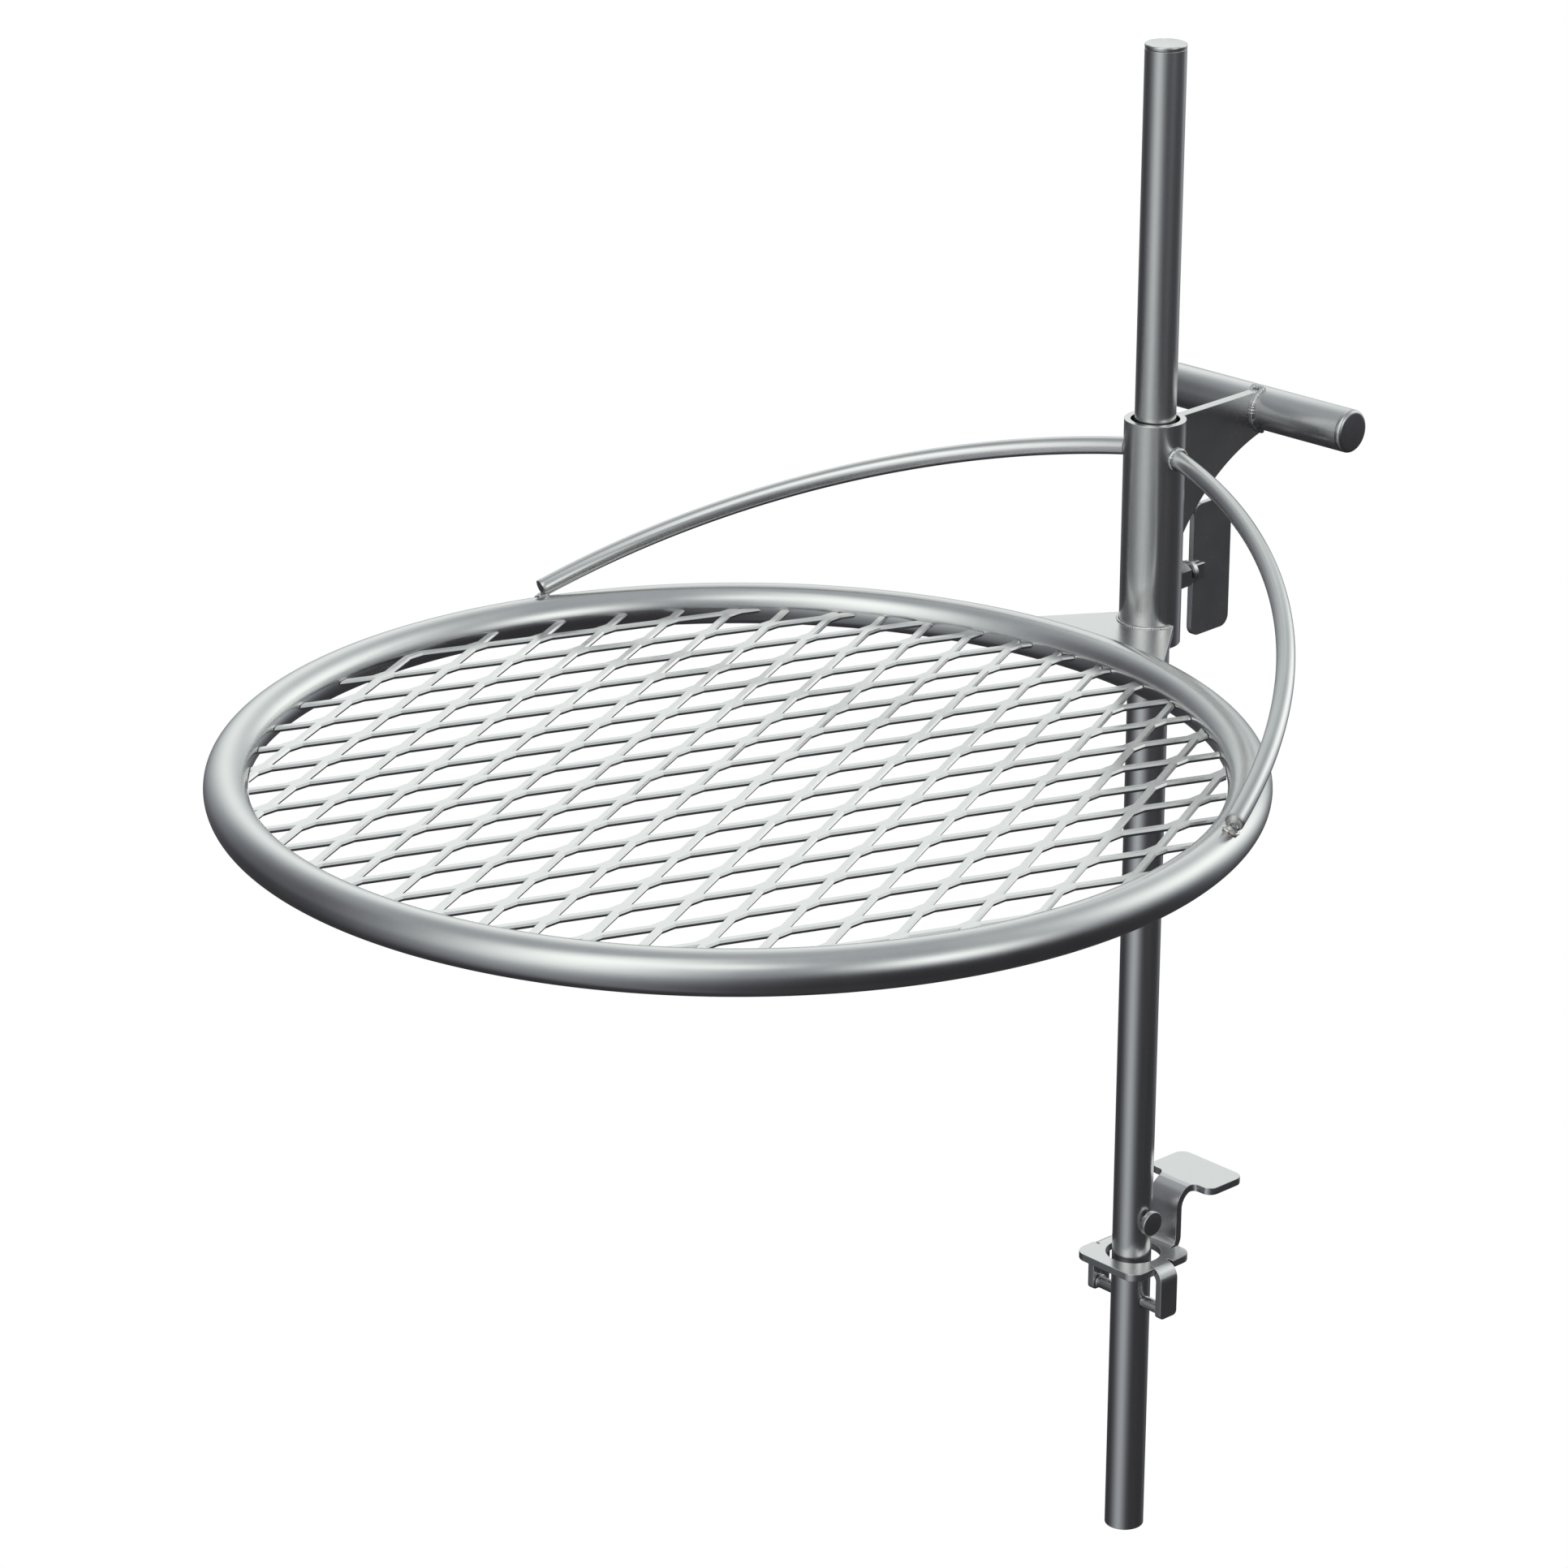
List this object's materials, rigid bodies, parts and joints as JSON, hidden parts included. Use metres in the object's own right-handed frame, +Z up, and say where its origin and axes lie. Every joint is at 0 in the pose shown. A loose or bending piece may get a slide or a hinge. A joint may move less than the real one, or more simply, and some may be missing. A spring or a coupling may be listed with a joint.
{
  "type": "fire pit swing grate",
  "caption": "Round expanded-metal cooking grate on a sleeve that slides and swivels on a tall post, with a folded bracket that hooks over a fire pit's rim.",
  "frame": {"origin": "middle of the underside of the bracket's hook plate, where it rests on the fire pit's rim", "axes": "+Z up along the post, +X from the hook plate to the post and on to the grate, +Y to the left of someone who stands behind the hook plate and looks along +X"},
  "size_m": [0.7812, 0.6093, 0.99],
  "materials": {
    "satin_tube": "satin",
    "bracket_sheet": "satin",
    "plate": "satin",
    "expanded_metal": "satin",
    "bright_cap": "polished",
    "dull_bar": "satin",
    "fastener": "satin",
    "weld_bead": "bright weld"
  },
  "bodies": {
    "bracket": {"rim_bracket": "bracket_sheet", "cross_rod": "dull_bar", "rod_weld_left": "weld_bead", "rod_weld_right": "weld_bead"},
    "post": {"post_tube": "satin_tube", "stop_pin": "dull_bar"},
    "swivel": {"post_top_cap": "bright_cap"},
    "grate": {"sleeve": "satin_tube", "ring_tube": "satin_tube", "grille": "expanded_metal", "web_plate": "plate", "web_weld_top": "weld_bead", "web_weld_bottom": "weld_bead", "arch_rod_left": "satin_tube", "arch_rod_right": "satin_tube", "arch_root_weld_left": "weld_bead", "arch_root_weld_right": "weld_bead", "arch_end_weld_left": "weld_bead", "arch_end_weld_right": "weld_bead", "gusset": "plate", "handle_tube": "satin_tube", "handle_cap_left": "dull_bar", "handle_cap_right": "dull_bar", "handle_weld_left": "weld_bead", "handle_weld_right": "weld_bead", "weld_nut": "fastener"},
    "lock_screw": {"lock_screw_shank": "fastener"},
    "lock_handle": {"lock_screw_head": "fastener", "lock_paddle": "plate"}
  },
  "joints": [
    {"name": "post_tilt", "type": "hinge", "parent": "bracket", "child": "post", "pos_m": [0.0592, 0, -0.0656], "axis": [0, 1, 0], "range_deg": [-10, 5.5]},
    {"name": "grate_swivel", "type": "hinge", "parent": "post", "child": "swivel", "pos_m": [0.0592, 0, 0.7], "axis": [0, 0, 1], "continuous": true},
    {"name": "grate_height", "type": "slide", "parent": "swivel", "child": "grate", "axis": [0, 0, 1], "range_m": [-0.34, 0.23]},
    {"name": "lock_screw_feed", "type": "slide", "parent": "grate", "child": "lock_screw", "axis": [0.9989, 0.0476, 0], "range_m": [-0.0045, 0.0005]},
    {"name": "lock_screw_turn", "type": "hinge", "parent": "lock_screw", "child": "lock_handle", "pos_m": [0.0193, -0.0019, 0.4198], "axis": [0.9989, 0.0476, 0], "range_deg": [-1080, 120]}
  ],
  "couplings": [
    {"joint": "lock_screw_turn", "follows": "lock_screw_feed", "rad_per_m": 4188.8}
  ]
}
